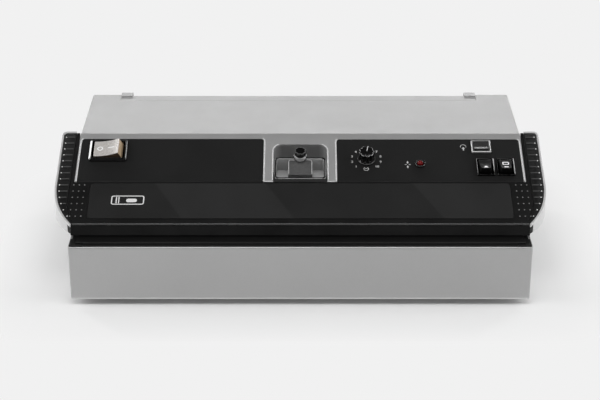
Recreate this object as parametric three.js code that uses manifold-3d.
// A tabletop vacuum sealer with a front lid: a folded sheet-steel housing with a sloped control
// panel, a hinged black lid with side grips over a vacuum trough and a seal bar, and the pump,
// transformer and electronics inside. Millimetres, +X right, +Y to the back, +Z up. In the housing's
// own frame y = 0 is the front of the base and z = 0 its underside; the feet reach below that.

import * as THREE from "three";
import { mergeVertices } from "three/addons/utils/BufferGeometryUtils.js";
import Module from "manifold-3d";

const wasm = await Module();
wasm.setup();

// ---------------------------------------------------------------- driving dimensions

const GAP = 0.3; // clearance between touching pieces
const FOOT_HEIGHT = 6; // from the table up to the base's underside

const SHELL_HALF = 185; // front shell, half width
const SHELL_TOP = 46.6; // its deck
const SHELL_BACK = 63.2;
const SHEET = 1.2;
const FLOOR = SHEET + GAP; // where the pieces that stand on the base plate start
const BEND = 1.6; // outside radius of the sheet's bends

const COVER_HALF = 186; // rear cover, half width
const COVER_SHEET = 1.5;
const COVER_FRONT = 64;
const COVER_BACK = 207.6;
const COVER_LOW = 2; // lower edge of its sides
const CREASE_Y = 117;
const TOP_Z = 95.2;

const LID_FRONT_Y = 19; // upper front edge of the lid, on the panel's plane
const LID_FRONT_Z = 57.9;
const LID_FOOT_Y = 14.5; // lower front edge
const LID_BOTTOM = 50;
const LID_BACK = 63.2;
const ARM_INNER = 186.6;
const ARM_OUTER = 190.8;
const GRIP_INNER = 189.3;
const PIVOT_Y = 102;
const PIVOT_Z = 78;

const WING_HALF = 201.5; // outer face of the wing shells
const WING_BACK = 119.5;
const WING_WALL = 1.5;
const WING_ARC_Y = 60; // where the straight side turns into the front arc
const WING_ARC_R = 62;
const WING_CORNER_R = 4;
const WING_FRONT_X = 184.3; // where the wing shell's rim ends on the lid's front
const WING_SEAM_X = 187.2; // where the shell below the rim ends against the lid's corner
const WING_RIM = 1.6;
const WING_HEEL_R = 32;

const TRAY_BAR_HALF = 179.3;
const TRAY_TOP = 49.3;
const TROUGH_HALF = 166.5;
const TROUGH_FRONT = 34.5;
const TROUGH_BACK = 55.5;
const TROUGH_FLOOR = 36;
const SEAL_HALF = 173.5;
const SEAL_FRONT = 17.8;
const SEAL_BACK = 26.2;

const TRAP_HALF = 22.6; // mouth of the liquid trap's recess
const TRAP_NEAR = 1.9;
const TRAP_FAR = 44.1;
const TRAP_DEPTH = 16;
const STEM_S = 27;

// Panel controls: centre x, centre s (up the slope from the panel's lower edge), width, length.
const MAIN_SWITCH = { x: -160.7, s: 35.5, w: 32, l: 24 };
const MODE_SWITCH = { x: 151.65, s: 40.3, w: 16.5, l: 14.8 };
const BUTTONS = [
  { name: "vacuum", x: 153.6, s: 16.65, w: 15.2, l: 19.7 },
  { name: "seal", x: 170.4, s: 16.65, w: 15.2, l: 19.7 },
];
const LED = { x: 99.7, s: 20.8, ring: 4.45 };
const DIAL = { x: 55.1, s: 25.8, skirt: 7.4, cap: 6.35, height: 10 };
const MAIN_TILT = 11; // degrees to each side
const MODE_TILT = 9;

const SLOPE = Math.atan2(TOP_Z - LID_FRONT_Z, CREASE_Y - LID_FRONT_Y);
const PANEL_Y = 63.5; // origin of the panel's own frame, on its plane
const slopeZ = (y) => LID_FRONT_Z + (y - LID_FRONT_Y) * Math.tan(SLOPE);
const slopeS = (y) => (y - PANEL_Y) / Math.cos(SLOPE);
const rad = THREE.MathUtils.degToRad;

// ---------------------------------------------------------------- solids and booleans

function toSolid(geometry) {
  const bare = new THREE.BufferGeometry();
  bare.setAttribute("position", geometry.getAttribute("position"));
  bare.setIndex(geometry.getIndex());
  const merged = mergeVertices(bare, 1e-4);
  return new wasm.Manifold(
    new wasm.Mesh({
      numProp: 3,
      vertProperties: Float32Array.from(merged.attributes.position.array),
      triVerts: Uint32Array.from(merged.index.array),
    }),
  );
}

function fromSolid(solid) {
  const mesh = solid.getMesh();
  const geometry = new THREE.BufferGeometry();
  geometry.setAttribute("position", new THREE.BufferAttribute(mesh.vertProperties, 3));
  geometry.setIndex(new THREE.BufferAttribute(mesh.triVerts, 1));
  return geometry;
}

const chain = (step) => (first, ...rest) =>
  fromSolid(rest.flat().reduce((whole, next) => step(whole, toSolid(next)), toSolid(first)));
const join = chain((a, b) => a.add(b));
const cut = chain((a, b) => a.subtract(b));
const common = chain((a, b) => a.intersect(b));

function mirrored(geometry) {
  const copy = join(geometry).scale(-1, 1, 1);
  const index = copy.getIndex().array;
  for (let i = 0; i < index.length; i += 3) {
    [index[i + 1], index[i + 2]] = [index[i + 2], index[i + 1]];
  }
  return copy;
}

function block(x0, x1, y0, y1, z0, z1) {
  return new THREE.BoxGeometry(x1 - x0, y1 - y0, z1 - z0)
    .translate((x0 + x1) / 2, (y0 + y1) / 2, (z0 + z1) / 2);
}

function upright(points, z0, z1) {
  const options = { depth: z1 - z0, bevelEnabled: false, curveSegments: 6 };
  const shape = points instanceof THREE.Shape ? points : new THREE.Shape(points);
  return new THREE.ExtrudeGeometry(shape, options).translate(0, 0, z0);
}

// An outline drawn in (y, z), swept along X from x0 to x1.
function sideways(points, x0, x1) {
  const swap = new THREE.Matrix4().set(0, 0, 1, 0, 1, 0, 0, 0, 0, 1, 0, 0, 0, 0, 0, 1);
  return upright(points, x0, x1).applyMatrix4(swap);
}

function arc(cx, cy, radius, fromDeg, toDeg, steps) {
  return Array.from({ length: steps + 1 }, (_, i) => {
    const angle = rad(fromDeg + ((toDeg - fromDeg) * i) / steps);
    return new THREE.Vector2(cx + radius * Math.cos(angle), cy + radius * Math.sin(angle));
  });
}

const at = (x, y) => new THREE.Vector2(x, y);

// A rectangle with its near corners (low y) and far corners rounded.
function roundedRect(x0, x1, y0, y1, near, far = near) {
  const steps = 5;
  return new THREE.Shape([
    ...arc(x1 - near, y0 + near, near, -90, 0, steps),
    ...arc(x1 - far, y1 - far, far, 0, 90, steps),
    ...arc(x0 + far, y1 - far, far, 90, 180, steps),
    ...arc(x0 + near, y0 + near, near, 180, 270, steps),
  ]);
}

function rectRing(outer, inner, z0, z1) {
  const shape = roundedRect(...outer);
  shape.holes.push(new THREE.Path(roundedRect(...inner).getPoints()));
  return upright(shape, z0, z1);
}

// A turned piece about Z: the profile lists [radius, z] from the axis round to the axis.
function turned(profile, sides = 32) {
  return new THREE.LatheGeometry(profile.map(([r, z]) => at(r, z)), sides)
    .rotateX(Math.PI / 2);
}

function disc(radius, z0, z1, sides = 32) {
  return turned([[0, z0], [radius, z0], [radius, z1], [0, z1]], sides);
}

function sleeve(inner, outer, z0, z1, sides = 32) {
  return turned([[inner, z0], [outer, z0], [outer, z1], [inner, z1], [inner, z0]], sides);
}

const alongX = (geometry) => geometry.rotateY(Math.PI / 2);

// From the panel's frame (x, s up the slope, h out of the panel) to the object's.
function onPanel(geometry) {
  return geometry.rotateX(SLOPE).translate(0, PANEL_Y, slopeZ(PANEL_Y));
}

function hose(points, outer, steps) {
  const path = new THREE.CatmullRomCurve3(points.map((p) => new THREE.Vector3(...p)));
  const section = new THREE.Shape(arc(0, 0, outer, 0, 315, 7));
  return new THREE.ExtrudeGeometry(section, { steps, extrudePath: path, bevelEnabled: false });
}

// ---------------------------------------------------------------- materials

const finish = (color, roughness, metalness, extra = {}) =>
  new THREE.MeshStandardMaterial({ color, roughness, metalness, ...extra });

const silver = finish(0xa3a4a5, 0.42, 0.55);
const black = finish(0x141414, 0.5, 0);
const foilBlack = finish(0x232323, 0.62, 0);
const rubber = finish(0x1b1b1b, 0.85, 0);
const gloss = finish(0x0c0c0c, 0.2, 0);
const metal = finish(0xb9bbbd, 0.3, 1);
const clear = finish(0xdfe4e6, 0.08, 0, { transparent: true, opacity: 0.4 });
const red = finish(0xb01018, 0.15, 0);
const grey = finish(0x454545, 0.5, 0);
const silicone = finish(0x8d2f22, 0.7, 0);
const green = finish(0x1d5a36, 0.5, 0);
const copper = finish(0xa9632f, 0.4, 0.6);
const tape = finish(0x8a6a45, 0.55, 0);

const sealer = new THREE.Group();
const assembly = new THREE.Group(); // holds every piece in the housing's own frame
sealer.add(assembly);

function add(name, geometry, material) {
  const mesh = new THREE.Mesh(geometry, material);
  mesh.name = name;
  assembly.add(mesh);
}

// ---------------------------------------------------------------- housing

function frontShell() {
  const inner = SHELL_HALF - SHEET;
  const ceiling = SHELL_TOP - SHEET;
  const plan = upright(roundedRect(-SHELL_HALF, SHELL_HALF, 0, SHELL_BACK, BEND, 0.01), -1, 60);
  const profile = sideways(
    [
      ...arc(BEND, SHELL_TOP - BEND, BEND, 180, 90, 5),
      at(SHELL_BACK + 5, SHELL_TOP),
      at(SHELL_BACK + 5, 0),
      ...arc(BEND, BEND, BEND, 270, 180, 5),
    ],
    -SHELL_HALF - 1,
    SHELL_HALF + 1,
  );
  return cut(
    common(plan, profile),
    block(-inner, inner, SHEET, SHELL_BACK + 1, SHEET, ceiling),
    block(-inner, inner, 14, SHELL_BACK + 1, -1, 20),
    block(-176, 176, SEAL_FRONT - 2.6, SEAL_BACK + 2.6, ceiling - 1, SHELL_TOP + 1),
    block(-168.6, 168.6, TROUGH_FRONT - 2, TROUGH_BACK + 2, ceiling - 1, SHELL_TOP + 1),
  );
}

function basePlate() {
  const half = SHELL_HALF - SHEET - 0.4;
  const back = 204;
  const tub = cut(
    block(-half, half, 14.5, back, 0, 14),
    block(-half + SHEET, half - SHEET, 10, back + 1, SHEET, 15),
  );
  const slots = [];
  for (let row = 0; row < 2; row++) {
    for (let i = 0; i < 6; i++) {
      const x = -70 + i * 28;
      slots.push(block(x - 9, x + 9, 90 + row * 70, 93 + row * 70, -1, 2));
    }
  }
  return cut(tub, ...slots);
}

const STRIP = { x0: -160, x1: 156.5, y0: 193, z: 94.3 }; // the bracket's strip in its pocket
const HOOKS = [
  [-160, -150],
  [146.7, 156.5],
];

function topCover() {
  const outer = sideways(
    [
      at(COVER_FRONT, COVER_LOW),
      at(COVER_FRONT, slopeZ(COVER_FRONT) - 1.2),
      at(COVER_FRONT + 0.35, slopeZ(COVER_FRONT) - 0.35),
      at(COVER_FRONT + 1.2, slopeZ(COVER_FRONT + 1.2)),
      ...creaseBend(),
      ...arc(COVER_BACK - BEND, TOP_Z - BEND, BEND, 90, 0, 5),
      at(COVER_BACK, 84),
      at(COVER_BACK - COVER_SHEET, 84),
      at(COVER_BACK - COVER_SHEET, COVER_LOW),
    ],
    -COVER_HALF,
    COVER_HALF,
  );
  const half = COVER_HALF - COVER_SHEET;
  const front = COVER_FRONT + COVER_SHEET;
  const drop = COVER_SHEET / Math.cos(SLOPE);
  const inner = sideways(
    [
      at(60, -1),
      at(60, SHELL_TOP - 4),
      at(front, SHELL_TOP - 4),
      at(front, slopeZ(front) - drop),
      at(CREASE_Y + 0.5, TOP_Z - COVER_SHEET),
      at(COVER_BACK - COVER_SHEET, TOP_Z - COVER_SHEET),
      at(COVER_BACK - COVER_SHEET, 83.9),
      at(COVER_BACK + 1, 83.9),
      at(COVER_BACK + 1, -1),
    ],
    -half,
    half,
  );
  // The long edges where the cover folds into its sides, as a quarter-round taken off each.
  const rightEdge = cut(
    block(COVER_HALF - BEND, COVER_HALF + 1, CREASE_Y + 1, 215, TOP_Z - BEND, 97),
    disc(BEND, 110, 220, 24).rotateX(-Math.PI / 2).translate(COVER_HALF - BEND, 0, TOP_Z - BEND),
  );
  const doubler = block(STRIP.x0 - 2, STRIP.x1 + 2, STRIP.y0 - 2, COVER_BACK - 2, 92.5, 94.4);
  const pocket = block(STRIP.x0 - GAP, STRIP.x1 + GAP, STRIP.y0 - GAP, 220, 94, 97);
  const notch = block(HOOKS[0][1], HOOKS[1][0], 204.1, 220, 80, 97);
  const pinHole = alongX(disc(4.5, -200, 200, 24)).translate(0, PIVOT_Y, PIVOT_Z);
  const { x, s, w, l } = MAIN_SWITCH;
  const openings = [
    upright(roundedRect(-184.3, -30.4, -3, 50.9, 0.3, 2.8), -0.5, 5),
    upright(roundedRect(30.2, 184.3, -3, 50.3, 0.3, 2.8), -0.5, 5),
    block(x - w / 2 + 1.7, x + w / 2 - 1.7, s - l / 2 + 1.2, s + l / 2 - 1.2, -5, 5),
    windowOf(MODE_SWITCH, 0.9),
    ...BUTTONS.map((button) => windowOf(button, 0.8)),
    disc(3.4, -5, 5, 24).translate(LED.x, LED.s, 0),
    disc(3.6, -5, 5, 24).translate(DIAL.x, DIAL.s, 0),
    upright(roundedRect(-TRAP_HALF, TRAP_HALF, TRAP_NEAR, TRAP_FAR, 2, 7.5), -6, 6),
    block(-24.6, 24.6, -3, 46.6, -20, -COVER_SHEET),
  ].map(onPanel);
  return cut(
    join(cut(outer, inner), doubler),
    pocket,
    notch,
    pinHole,
    rightEdge,
    mirrored(rightEdge),
    ...openings,
  );
}

// The bend between the sloped panel and the flat top, an arc tangent to both.
function creaseBend() {
  const radius = 4;
  const reach = radius * Math.tan(SLOPE / 2);
  const bend = THREE.MathUtils.radToDeg(SLOPE);
  return arc(CREASE_Y + reach, TOP_Z - radius, radius, 90 + bend, 90, 5);
}

// The hole in the panel under a switch's bezel, margin in from the bezel's edge.
function windowOf({ x, s, w, l }, margin) {
  const halfWidth = w / 2 - margin;
  const halfLength = l / 2 - margin;
  return block(x - halfWidth, x + halfWidth, s - halfLength, s + halfLength, -5, 5);
}

const INLET = { x: 112, z: 32, w: 28, h: 20 };

function rearPanel() {
  const slots = [];
  for (let i = 0; i < 10; i++) {
    const x = -118 + i * 9;
    slots.push(block(x - 2, x + 2, 200, 210, 22, 62));
  }
  const { x, z, w, h } = INLET;
  const inlet = block(x - w / 2 - GAP, x + w / 2 + GAP, 200, 210, z - h / 2 - GAP, z + h / 2 + GAP);
  return cut(block(-184.2, 184.2, 204.4, 205.6, COVER_LOW - 0.4, 92.2), inlet, ...slots);
}

// One bent sheet: a strip along the top's rear edge and two hooks that carry the wound cord.
function cordBracket() {
  const strip = block(STRIP.x0, STRIP.x1, STRIP.y0, 203.8, STRIP.z, TOP_Z);
  const hook = [
    at(200, 94.6), at(200, 96.7), at(208.2, 96.7), at(209.1, 95.8), at(209.1, 58),
    at(222.8, 58), at(222.8, 68), at(224, 68), at(224, 56.8), at(207.9, 56.8),
    at(207.9, 95.5), at(203.8, 95.5), at(203.8, 94.6),
  ];
  return join(strip, ...HOOKS.map(([x0, x1]) => sideways(hook, x0, x1)));
}

function powerInlet() {
  const { x, z, w, h } = INLET;
  const flange = roundedRect(x - 15.5, x + 15.5, z - 12, z + 12, 2);
  const body = block(x - w / 2, x + w / 2, 182, 206, z - h / 2, z + h / 2);
  const plate = upright(flange, -208.4, -205.9).rotateX(Math.PI / 2);
  const socket = block(x - 12, x + 12, 194, 215, z - 8, z + 8);
  return cut(join(body, plate), socket);
}

add("front_shell", frontShell(), silver);
add("base_plate", basePlate(), silver);
add("top_cover", topCover(), silver);
add("rear_panel", rearPanel(), silver);
add("cord_bracket", cordBracket(), silver);
add("power_inlet", powerInlet(), gloss);
[
  ["live", -6.5, -2],
  ["neutral", 6.5, -2],
  ["earth", 0, 3.2],
].forEach(([wire, dx, dz]) => {
  const x = INLET.x + dx;
  const z = INLET.z + dz;
  add(`inlet_pin_${wire}`, block(x - 1, x + 1, 194.3, 204, z - 2, z + 2), metal);
});
[
  ["front_left", -160, 34],
  ["front_right", 160, 34],
  ["rear_left", -160, 182],
  ["rear_right", 160, 182],
].forEach(([corner, x, y]) => {
  const low = -FOOT_HEIGHT;
  const profile = [[0, low], [7, low], [8, low + 1], [8, -GAP], [0, -GAP]];
  add(`foot_${corner}`, turned(profile, 16).translate(x, y, 0), rubber);
});

// ---------------------------------------------------------------- deck

const PORT = { x: 60, y: 45 }; // the vacuum port in the trough's floor

function gasketRing(z0, z1, grow = 0) {
  const outer = [-172, 172, 29.6, 60.4];
  const width = 3.5;
  const grown = (edge, by) => [edge[0] - by, edge[1] + by, edge[2] - by, edge[3] + by];
  return rectRing([...grown(outer, grow), 4], [...grown(outer, -width - grow), 2], z0, z1);
}

function chamberTray() {
  const flange = block(-182.8, 182.8, 1.2, 62.4, 46.9, 47.9);
  const corner = (side) =>
    block(...[side * 173.2, side * 190].sort((a, b) => a - b), 0, 12.3, 46, 47.95);
  const bar = sideways(
    [at(3.2, 46.9), ...arc(4, TRAY_TOP - 0.8, 0.8, 180, 90, 3), at(61.8, TRAY_TOP), at(61.8, 46.9)],
    -TRAY_BAR_HALF,
    TRAY_BAR_HALF,
  );
  const wall = 1.5;
  const trough = block(-TROUGH_HALF - wall, TROUGH_HALF + wall, TROUGH_FRONT - wall,
    TROUGH_BACK + wall, TROUGH_FLOOR - wall, 47);
  const channel = block(-SEAL_HALF - 2, SEAL_HALF + 2, SEAL_FRONT - 1.8, SEAL_BACK + 1.8, 37.5, 47);
  const troughSpace = upright(
    roundedRect(-TROUGH_HALF, TROUGH_HALF, TROUGH_FRONT, TROUGH_BACK, 5), TROUGH_FLOOR, 52);
  const channelSpace = block(-SEAL_HALF - GAP, SEAL_HALF + GAP, SEAL_FRONT - GAP,
    SEAL_BACK + GAP, 39, 52);
  const wireHoles = [-150, 150].map((x) => disc(2, 30, 40, 16).translate(x, 22, 0));
  return cut(
    join(cut(flange, corner(1), corner(-1)), bar, trough, channel),
    troughSpace, channelSpace, gasketRing(47.4, 52, GAP), ...wireHoles,
    disc(3.4, 30, 40, 20).translate(PORT.x, PORT.y, 0),
  );
}

function vacuumPort() {
  const profile = [
    [1.8, 24], [2.7, 24], [3.1, 26], [3.1, TROUGH_FLOOR + GAP], [6, TROUGH_FLOOR + GAP],
    [6, 37.4], [5.4, 38], [1.8, 38], [1.8, 24],
  ];
  return turned(profile, 14).translate(PORT.x, PORT.y, 0);
}

function cornerPlate() {
  return upright([
    at(173.5, 0.7), at(184.2, 0.7), at(184.2, 12), at(179.6, 12), at(179.6, 2.9), at(173.5, 2.9),
  ], 46.9, 48.2);
}

add("chamber_tray", chamberTray(), black);
add("seal_bar", block(-SEAL_HALF, SEAL_HALF, SEAL_FRONT, SEAL_BACK, 39.3, 48), metal);
add("heating_strip", block(-172, 172, 20.5, 23.5, 48.3, 48.6), metal);
add("ptfe_tape", block(-172.5, 172.5, 18.2, 25.8, 48.9, 49.15), tape);
add("lower_gasket", gasketRing(47.7, 49.8), rubber);
add("vacuum_port", vacuumPort(), metal);
add("corner_plate_right", cornerPlate(), black);
add("corner_plate_left", mirrored(cornerPlate()), black);

// ---------------------------------------------------------------- lid

const WING_ARC_X = WING_HALF - WING_ARC_R;

// The wing's outline in plan from the rear to the front, inset from its outer face.
function wingPath(inset, rearX = GRIP_INNER, frontX = WING_FRONT_X) {
  const radius = WING_ARC_R - inset;
  const end = THREE.MathUtils.radToDeg(Math.acos((frontX - WING_ARC_X) / radius));
  const corner = WING_CORNER_R;
  return [
    at(rearX, WING_BACK - inset),
    ...arc(WING_HALF - corner, WING_BACK - corner, corner - inset, 90, 0, 5),
    ...arc(WING_ARC_X, WING_ARC_Y, radius, 0, -end, 14),
  ];
}

// The lid's and wings' outline from the side, with the arms' rounded heel.
function wingSide(inset) {
  const back = WING_BACK - inset;
  const radius = WING_HEEL_R - inset;
  return [
    at(LID_FOOT_Y, LID_BOTTOM),
    ...arc(back - radius, LID_BOTTOM + radius, radius, -90, 0, 8),
    at(back, slopeZ(back)),
    at(LID_FRONT_Y, LID_FRONT_Z),
  ];
}

function wingShell() {
  const band = [...wingPath(0), ...wingPath(WING_WALL).reverse()];
  const shell = common(upright(band, 40, 110), sideways(wingSide(0), 150, 210));
  return cut(shell, onPanel(block(150, WING_SEAM_X, -80, 0, -80, -WING_RIM)));
}

const GRIP_TIP = 185;
const GRIP_DEPTH = 3;
const RIB_PITCH = 6.58;
const RIB_COUNT = 14;
const RIB_FIRST_Y = 27.2;

// The grip's plan: between the lid's side and the wing shell, running out to a tip in front.
function gripPlan(grow) {
  const outer = wingPath(WING_WALL + GAP - grow, GRIP_INNER - grow, GRIP_TIP);
  const inner = [at(GRIP_TIP - 0.6, 24), at(GRIP_TIP + 1.2, 30), at(GRIP_TIP + 2.4, 34), at(GRIP_INNER, 37)];
  return [...outer, ...inner.map((p) => at(p.x - grow, p.y))];
}

function grip() {
  const slab = onPanel(block(150, 210, -60, 60, -GRIP_DEPTH, 0));
  const plate = common(upright(gripPlan(0), 40, 110), slab);
  const ribs = [];
  for (let i = 0; i < RIB_COUNT; i++) {
    const s = slopeS(RIB_FIRST_Y + i * RIB_PITCH);
    ribs.push(onPanel(block(190.3, 205, s - 0.4, s + 0.4, -0.5, 0.4)));
  }
  const inside = upright(wingPath(3.2, 190.3, 190.3), 40, 110);
  return join(plate, ribs.map((rib) => common(rib, inside)));
}

// The lid's corner below the shell's rim, flush with the shell's outer face.
function lidCorner() {
  const x = WING_SEAM_X - GAP;
  const seamY = WING_ARC_Y - Math.sqrt(WING_ARC_R ** 2 - (x - WING_ARC_X) ** 2);
  const face = wingPath(0).filter((p) => p.y < seamY);
  const plan = [at(180, 30), at(x, 30), at(x, seamY), ...face, at(WING_FRONT_X, 10), at(180, 10)];
  return common(upright(plan, 40, 90), onPanel(block(150, 210, -80, 0, -80, -WING_RIM - GAP)));
}

function lidShell() {
  const inset = WING_WALL + GAP;
  const side = WING_FRONT_X - GAP;
  const right = wingPath(inset, GRIP_INNER, side).filter((p) => p.x <= ARM_OUTER);
  const front = right.filter((p) => p.y < WING_ARC_Y);
  const edge = [at(ARM_OUTER, LID_BACK), at(ARM_OUTER, 32), ...front, at(side, 10)];
  const plan = [...edge, ...edge.map((p) => at(-p.x, p.y)).reverse()];
  const corner = lidCorner();
  const body = common(
    join(upright(plan, 40, 90), corner, mirrored(corner)),
    sideways(
      [at(LID_FOOT_Y, LID_BOTTOM), at(LID_BACK, LID_BOTTOM), at(LID_BACK, slopeZ(LID_BACK)),
        at(LID_FRONT_Y, LID_FRONT_Z)],
      -200,
      200,
    ),
  );
  const bead = alongX(disc(0.7, 0.8 - WING_FRONT_X, WING_FRONT_X - 0.8, 12))
    .translate(0, LID_FRONT_Y, LID_FRONT_Z - 0.2);
  const arm = common(
    sideways(wingSide(inset), ARM_INNER, ARM_OUTER),
    block(180, 200, 45, 130, 40, 120),
  );
  const gripSpace = common(
    upright(gripPlan(GAP), 40, 110),
    onPanel(block(150, 210, -60, 60, -GRIP_DEPTH - GAP, 9)),
  );
  const chamber = common(
    upright(roundedRect(-TROUGH_HALF, TROUGH_HALF, TROUGH_FRONT, TROUGH_BACK, 5), 45, 90),
    onPanel(block(-200, 200, -60, 60, -60, -3)),
  );
  return cut(
    join(body, bead, arm, mirrored(arm)),
    gripSpace,
    mirrored(gripSpace),
    chamber,
    block(-SEAL_HALF - GAP, SEAL_HALF + GAP, SEAL_FRONT - GAP, SEAL_BACK + GAP, 45, 53.5),
    gasketRing(45, 51.9, GAP),
    onPanel(upright(roundedRect(-172.3, 172.3, slopeS(24.6), slopeS(62.2), 3), -0.6, 5)),
    alongX(disc(3.3, -200, 200, 24)).translate(0, PIVOT_Y, PIVOT_Z),
  );
}

const lidPlate = onPanel(
  upright(roundedRect(-172, 172, slopeS(24.9), slopeS(61.9), 3), -0.3, 0.1),
);

function hingePin() {
  const profile = [[0, 180], [2.6, 180], [3, 180.5], [3, 191.1], [5, 191.1], [5, 192.8], [4.6, 193.2],
    [0, 193.2]];
  return alongX(turned(profile, 16)).translate(0, PIVOT_Y, PIVOT_Z);
}

function hingeBush() {
  const profile = [[3.3, 181.5], [6.5, 181.5], [6.5, 184.2], [4.2, 184.2], [4.2, 186.3], [3.3, 186.3],
    [3.3, 181.5]];
  return alongX(turned(profile, 16)).translate(0, PIVOT_Y, PIVOT_Z);
}

add("lid_shell", lidShell(), black);
add("lid_plate", lidPlate, foilBlack);
add("lid_gasket", gasketRing(50.1, 51.6), rubber);
add("press_bar", block(-173, 173, 18, 26, 49.5, 53.2), silicone);
[
  ["wing_shell", wingShell(), silver],
  ["grip", grip(), rubber],
  ["hinge_pin", hingePin(), metal],
  ["hinge_bush", hingeBush(), gloss],
].forEach(([name, geometry, material]) => {
  add(`${name}_right`, geometry, material);
  add(`${name}_left`, mirrored(geometry), material);
});

// ---------------------------------------------------------------- panel controls

const FOIL_LOW = -0.2;
const FOIL_TOP = 0.15;
const BEZEL_LOW = 0.45;

// A bezel above the foil with its body below, open in the middle for the rocker.
function switchHousing({ x, s, w, l }, bezelTop, hole, bodySize, depth, space) {
  const frame = upright(roundedRect(x - w / 2, x + w / 2, s - l / 2, s + l / 2, 1), BEZEL_LOW,
    bezelTop);
  const body = block(x - bodySize[0] / 2, x + bodySize[0] / 2, s - bodySize[1] / 2,
    s + bodySize[1] / 2, -depth, 1);
  const opening = block(x - hole[0] / 2, x + hole[0] / 2, s - hole[1] / 2, s + hole[1] / 2,
    -space, 10);
  return onPanel(cut(join(frame, body), opening));
}

// A rocker swept across the switch: its outline is drawn about the pivot and tilted at rest.
function rocker(outline, width, tilt, { x, s }, pivotH, alongS) {
  const solid = upright(outline, -width / 2, width / 2).rotateX(Math.PI / 2);
  solid.rotateY(rad(tilt));
  if (!alongS) solid.rotateZ(Math.PI / 2);
  return onPanel(solid.translate(x, s, pivotH));
}

function mainRocker() {
  const outline = [
    at(-12.6, 0), at(-11.8, 7.2), at(0, 5.9), at(11.8, 7.2), at(12.6, 0), at(6, -4), at(-6, -4),
  ];
  return rocker(outline, 17.8, -MAIN_TILT, MAIN_SWITCH, -2, true);
}

function modeRocker() {
  const outline = [
    at(-5.2, 0), at(-4.9, 3.4), at(-2, 2.5), at(2, 2.5), at(4.9, 3.4), at(5.2, 0), at(2, -3),
    at(-2, -3),
  ];
  return rocker(outline, 12.2, MODE_TILT, MODE_SWITCH, -0.9, false);
}

// A key that slopes from the panel up to its near edge and narrows towards it.
function buttonCap({ x, s }) {
  const profile = sideways(
    [at(-6.6, -1), at(-6.6, 8.7), at(-5.8, 9.5), at(7.9, 4.2), at(7.9, -1), at(2, -4), at(-2, -4)],
    -6,
    6,
  );
  const taper = upright([at(-4.6, -7), at(4.6, -7), at(6, 8), at(-6, 8)], 3, 20);
  const solid = common(profile, join(taper, block(-6, 6, -8, 9, -6, 3.5)));
  return onPanel(solid.translate(x, s, -3));
}

function foil(x0, x1, holes) {
  const far = x0 < 0 ? 50.6 : 50;
  const sheet = upright(roundedRect(x0, x1, 0.9, far, 0.3, 2.5), FOIL_LOW, FOIL_TOP);
  return onPanel(cut(sheet, ...holes));
}

const MAIN_BODY = [28, 21];
const mainHole = block(
  MAIN_SWITCH.x - 14.3, MAIN_SWITCH.x + 14.3, MAIN_SWITCH.s - 10.8, MAIN_SWITCH.s + 10.8, -3, 3);

add("panel_foil_left", foil(-184, -30.7, [mainHole]), foilBlack);
add("panel_foil_right", foil(30.5, 184, [
  windowOf(MODE_SWITCH, 0.9),
  ...BUTTONS.map((button) => windowOf(button, 0.8)),
  disc(3.4, -3, 3, 24).translate(LED.x, LED.s, 0),
  disc(3.6, -3, 3, 24).translate(DIAL.x, DIAL.s, 0),
]), foilBlack);
add("main_switch_body", switchHousing(MAIN_SWITCH, 3.2, [27, 18.6], MAIN_BODY, 22, 9), gloss);
add("main_rocker", mainRocker(), metal);
add("mode_switch_body", switchHousing(MODE_SWITCH, 2.2, [12.8, 11.4], [14.1, 12.4], 14, 6), metal);
add("mode_rocker", modeRocker(), gloss);
BUTTONS.forEach((button) => {
  const body = switchHousing(button, 2, [12.6, 17.1], [13.4, 17.9], 16, 9);
  add(`${button.name}_button_body`, body, gloss);
  add(`${button.name}_button`, buttonCap(button), gloss);
});

function ledBezel() {
  const profile = [
    [2.75, -4], [3.1, -4], [3.1, BEZEL_LOW], [LED.ring, BEZEL_LOW], [LED.ring, 1.2], [3.9, 1.9],
    [3.3, 1.9], [2.75, 1.4], [2.75, -4],
  ];
  return onPanel(turned(profile, 20).translate(LED.x, LED.s, 0));
}

function ledLens() {
  const radius = 2.45;
  const dome = arc(0, 1.8, radius, 0, 90, 5).slice(1, -1).map((p) => [p.x, p.y]);
  const profile = [[0, -5], [radius, -5], [radius, 1.8], ...dome, [0, 1.8 + radius]];
  return onPanel(turned(profile, 20).translate(LED.x, LED.s, 0));
}

function dialKnob() {
  const low = BEZEL_LOW + 0.1;
  const { skirt, cap, height } = DIAL;
  const body = turned([[0, low], [skirt, low], [skirt, 1.6], [cap + 0.5, 3], [cap, height - 0.8],
    [cap - 0.8, height], [0, height]], 36);
  const flutes = 9;
  const tools = [disc(3.3, -1, 7.5, 24)];
  for (let i = 0; i < flutes; i++) {
    const angle = (2 * Math.PI * (i + 0.5)) / flutes + Math.PI / 2;
    const reach = cap + 1;
    tools.push(disc(1.5, 3.2, 20, 8)
      .translate(reach * Math.cos(angle), reach * Math.sin(angle), 0));
  }
  return onPanel(cut(body, ...tools).translate(DIAL.x, DIAL.s, 0));
}

function potentiometer() {
  const profile = [[0, -13], [8, -13], [8, -2.2], [3.2, -2.2], [3.2, 0.2], [3, 0.2], [3, 7], [0, 7]];
  return onPanel(turned(profile, 24).translate(DIAL.x, DIAL.s, 0));
}

add("led_bezel", ledBezel(), gloss);
add("led_lens", ledLens(), red);
add("dial_knob", dialKnob(), gloss);
add("potentiometer", potentiometer(), metal);

// ---------------------------------------------------------------- liquid trap

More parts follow.
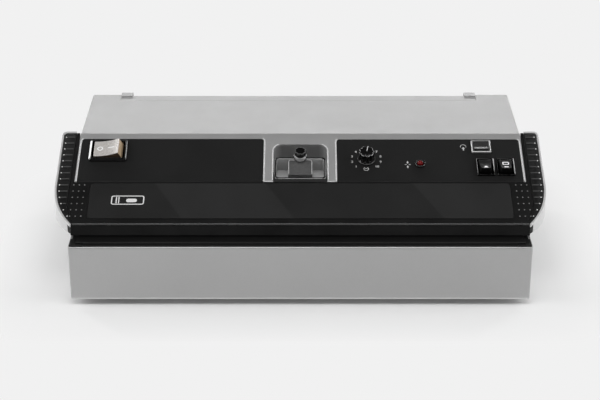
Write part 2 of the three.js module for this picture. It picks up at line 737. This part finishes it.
function trapWell() {
  const wall = 1.4;
  const low = -TRAP_DEPTH - wall;
  const box = upright(
    roundedRect(-TRAP_HALF - wall, TRAP_HALF + wall, TRAP_NEAR + 0.5 - wall, TRAP_FAR + wall, 3, 8.5),
    low, -COVER_SHEET - GAP);
  const space = upright(
    roundedRect(-TRAP_HALF, TRAP_HALF, TRAP_NEAR + 0.5, TRAP_FAR, 2, 7.5), -TRAP_DEPTH, 5);
  return onPanel(cut(box, space, disc(3.4, -30, 0, 20).translate(0, 38, 0)));
}

const CUP = { half: 21.3, near: 3.8, far: 28.8, low: -15.4, wall: 1.6 };

function trapCup() {
  const { half, near, far, low, wall } = CUP;
  const outer = join(
    upright(roundedRect(-half, half, near, far, 3), low, 0),
    disc(6.6, low, 0, 24).translate(0, STEM_S, 0),
  );
  const inner = join(
    upright(roundedRect(-half + wall, half - wall, near + wall, far - wall, 2), low + wall, 1),
    disc(5, low + wall, 1, 24).translate(0, STEM_S, 0),
  );
  return onPanel(cut(outer, inner));
}

// The clear suction stem with its hexagonal collar, and the splash box round its lower end.
function trapStem() {
  const column = turned([[2.6, -13], [4.2, -13], [4.2, 0.6], [5.2, 2.6], [4.4, 5], [2.6, 5],
    [2.6, -13]], 8).translate(0, STEM_S, 0);
  const cover = block(-10, 10, 9.5, STEM_S, -2.2, -1.2);
  const splash = cut(block(-10, 10, 9.5, 22, -9, -1.5), block(-9, 9, 10.5, 21, -10, -1.5));
  const plate = cut(cover, disc(4, -5, 5, 24).translate(0, STEM_S, 0));
  return onPanel(join(column, plate, splash));
}

function trapCap() {
  const radius = 5;
  const body = turned([[0, 5.3], [radius, 5.3], [radius, 8.9], [radius - 0.7, 9.6], [0, 9.6]], 24);
  const flutes = [];
  for (let i = 0; i < 8; i++) {
    const angle = (Math.PI * (i + 0.5)) / 4;
    const reach = radius + 0.5;
    flutes.push(disc(1.1, 5, 10, 8)
      .translate(reach * Math.cos(angle), reach * Math.sin(angle), 0));
  }
  return onPanel(cut(body, ...flutes).translate(0, STEM_S, 0));
}

add("trap_well", trapWell(), grey);
add("trap_cup", trapCup(), clear);
add("trap_stem", trapStem(), clear);
add("trap_cap", trapCap(), gloss);

// ---------------------------------------------------------------- inside the housing

const MOTOR = { y: 150, z: 42, radius: 27, left: -78, right: -8 };

function motorHousing() {
  const { y, z, radius, left, right } = MOTOR;
  const can = alongX(sleeve(3.4, radius, left, right, 32)).translate(0, y, z);
  return join(can, block(left + 6, right - 6, y - 24, y + 24, FLOOR, 22));
}

// The rotor's shaft with its cooling fan at the right and its crank disc at the left.
function motorRotor() {
  const { y, z, left, right } = MOTOR;
  const shaft = alongX(disc(3, left - 16, right + 12, 12));
  const crank = alongX(disc(9, left - 12, left - 4, 16));
  const hub = alongX(disc(7, right + 3, right + 11, 12));
  const blades = [];
  for (let i = 0; i < 6; i++) {
    blades.push(block(right + 3, right + 10, -0.8, 0.8, 5, 22).rotateX((i * Math.PI) / 3));
  }
  return join(shaft, crank, hub, blades).translate(0, y, z);
}

function pumpBody() {
  const { y, z, left } = MOTOR;
  const crankcase = block(-118, left - 1, y - 22, y + 22, FLOOR, 68);
  const heads = [-1, 1].map((side) =>
    block(-114, left - 5, ...[y + side * 22, y + side * 36].sort((a, b) => a - b), z - 14, z + 14));
  const ports = [-1, 1].map((side) =>
    disc(3, 60, 76, 16).translate(-98, y + side * 14, 0));
  const crankSpace = alongX(disc(11, left - 18, left + 5, 24)).translate(0, y, z);
  return cut(join(crankcase, heads, ports), crankSpace);
}

function transformer() {
  return join(
    block(62, 112, 112, 130, FLOOR, 56),
    block(70, 104, 102, 140, 16, 48),
    block(54, 120, 112, 130, FLOOR, FLOOR + 2),
  );
}

function circuitBoard() {
  const board = block(18, 148, 138, 190, 72, 73.6);
  const relays = [30, 52].map((x) => block(x, x + 16, 146, 160, 73, 88));
  const blocks = [block(84, 120, 176, 188, 73, 84), block(86, 100, 148, 162, 73, 82)];
  const posts = [24, 142].map((x) => disc(2.5, FLOOR, 72.5, 12)
    .translate(x, 186, 0));
  return join(board, relays, blocks, posts);
}

function solenoidValve() {
  return join(
    block(-44, -20, 82, 108, FLOOR, 34),
    alongX(disc(3, -58, -6, 16)).translate(0, 95, 26),
    disc(8, 30, 46, 20).translate(-32, 95, 0),
  );
}

add("motor_housing", motorHousing(), grey);
add("motor_rotor", motorRotor(), metal);
add("pump_body", pumpBody(), metal);
add("transformer", transformer(), copper);
add("circuit_board", circuitBoard(), green);
add("solenoid_valve", solenoidValve(), gloss);
add("valve_hose", hose([[60, 45, 23.5], [60, 45.2, 18], [50, 64, 13], [26, 86, 18], [6, 95, 26],
  [-5.6, 95, 26]], 3, 16), clear);
add("pump_hose", hose([[-58.4, 95, 26], [-68, 95, 27], [-86, 99, 44], [-95, 110, 68],
  [-98, 128, 84], [-98, 136, 83], [-98, 136, 76.4]], 3, 18), clear);

// The origin is under the middle of the whole object, on the table.
const whole = new THREE.Box3().setFromObject(assembly);
assembly.position.y = -(whole.min.y + whole.max.y) / 2;
assembly.position.z = FOOT_HEIGHT;

export default sealer;
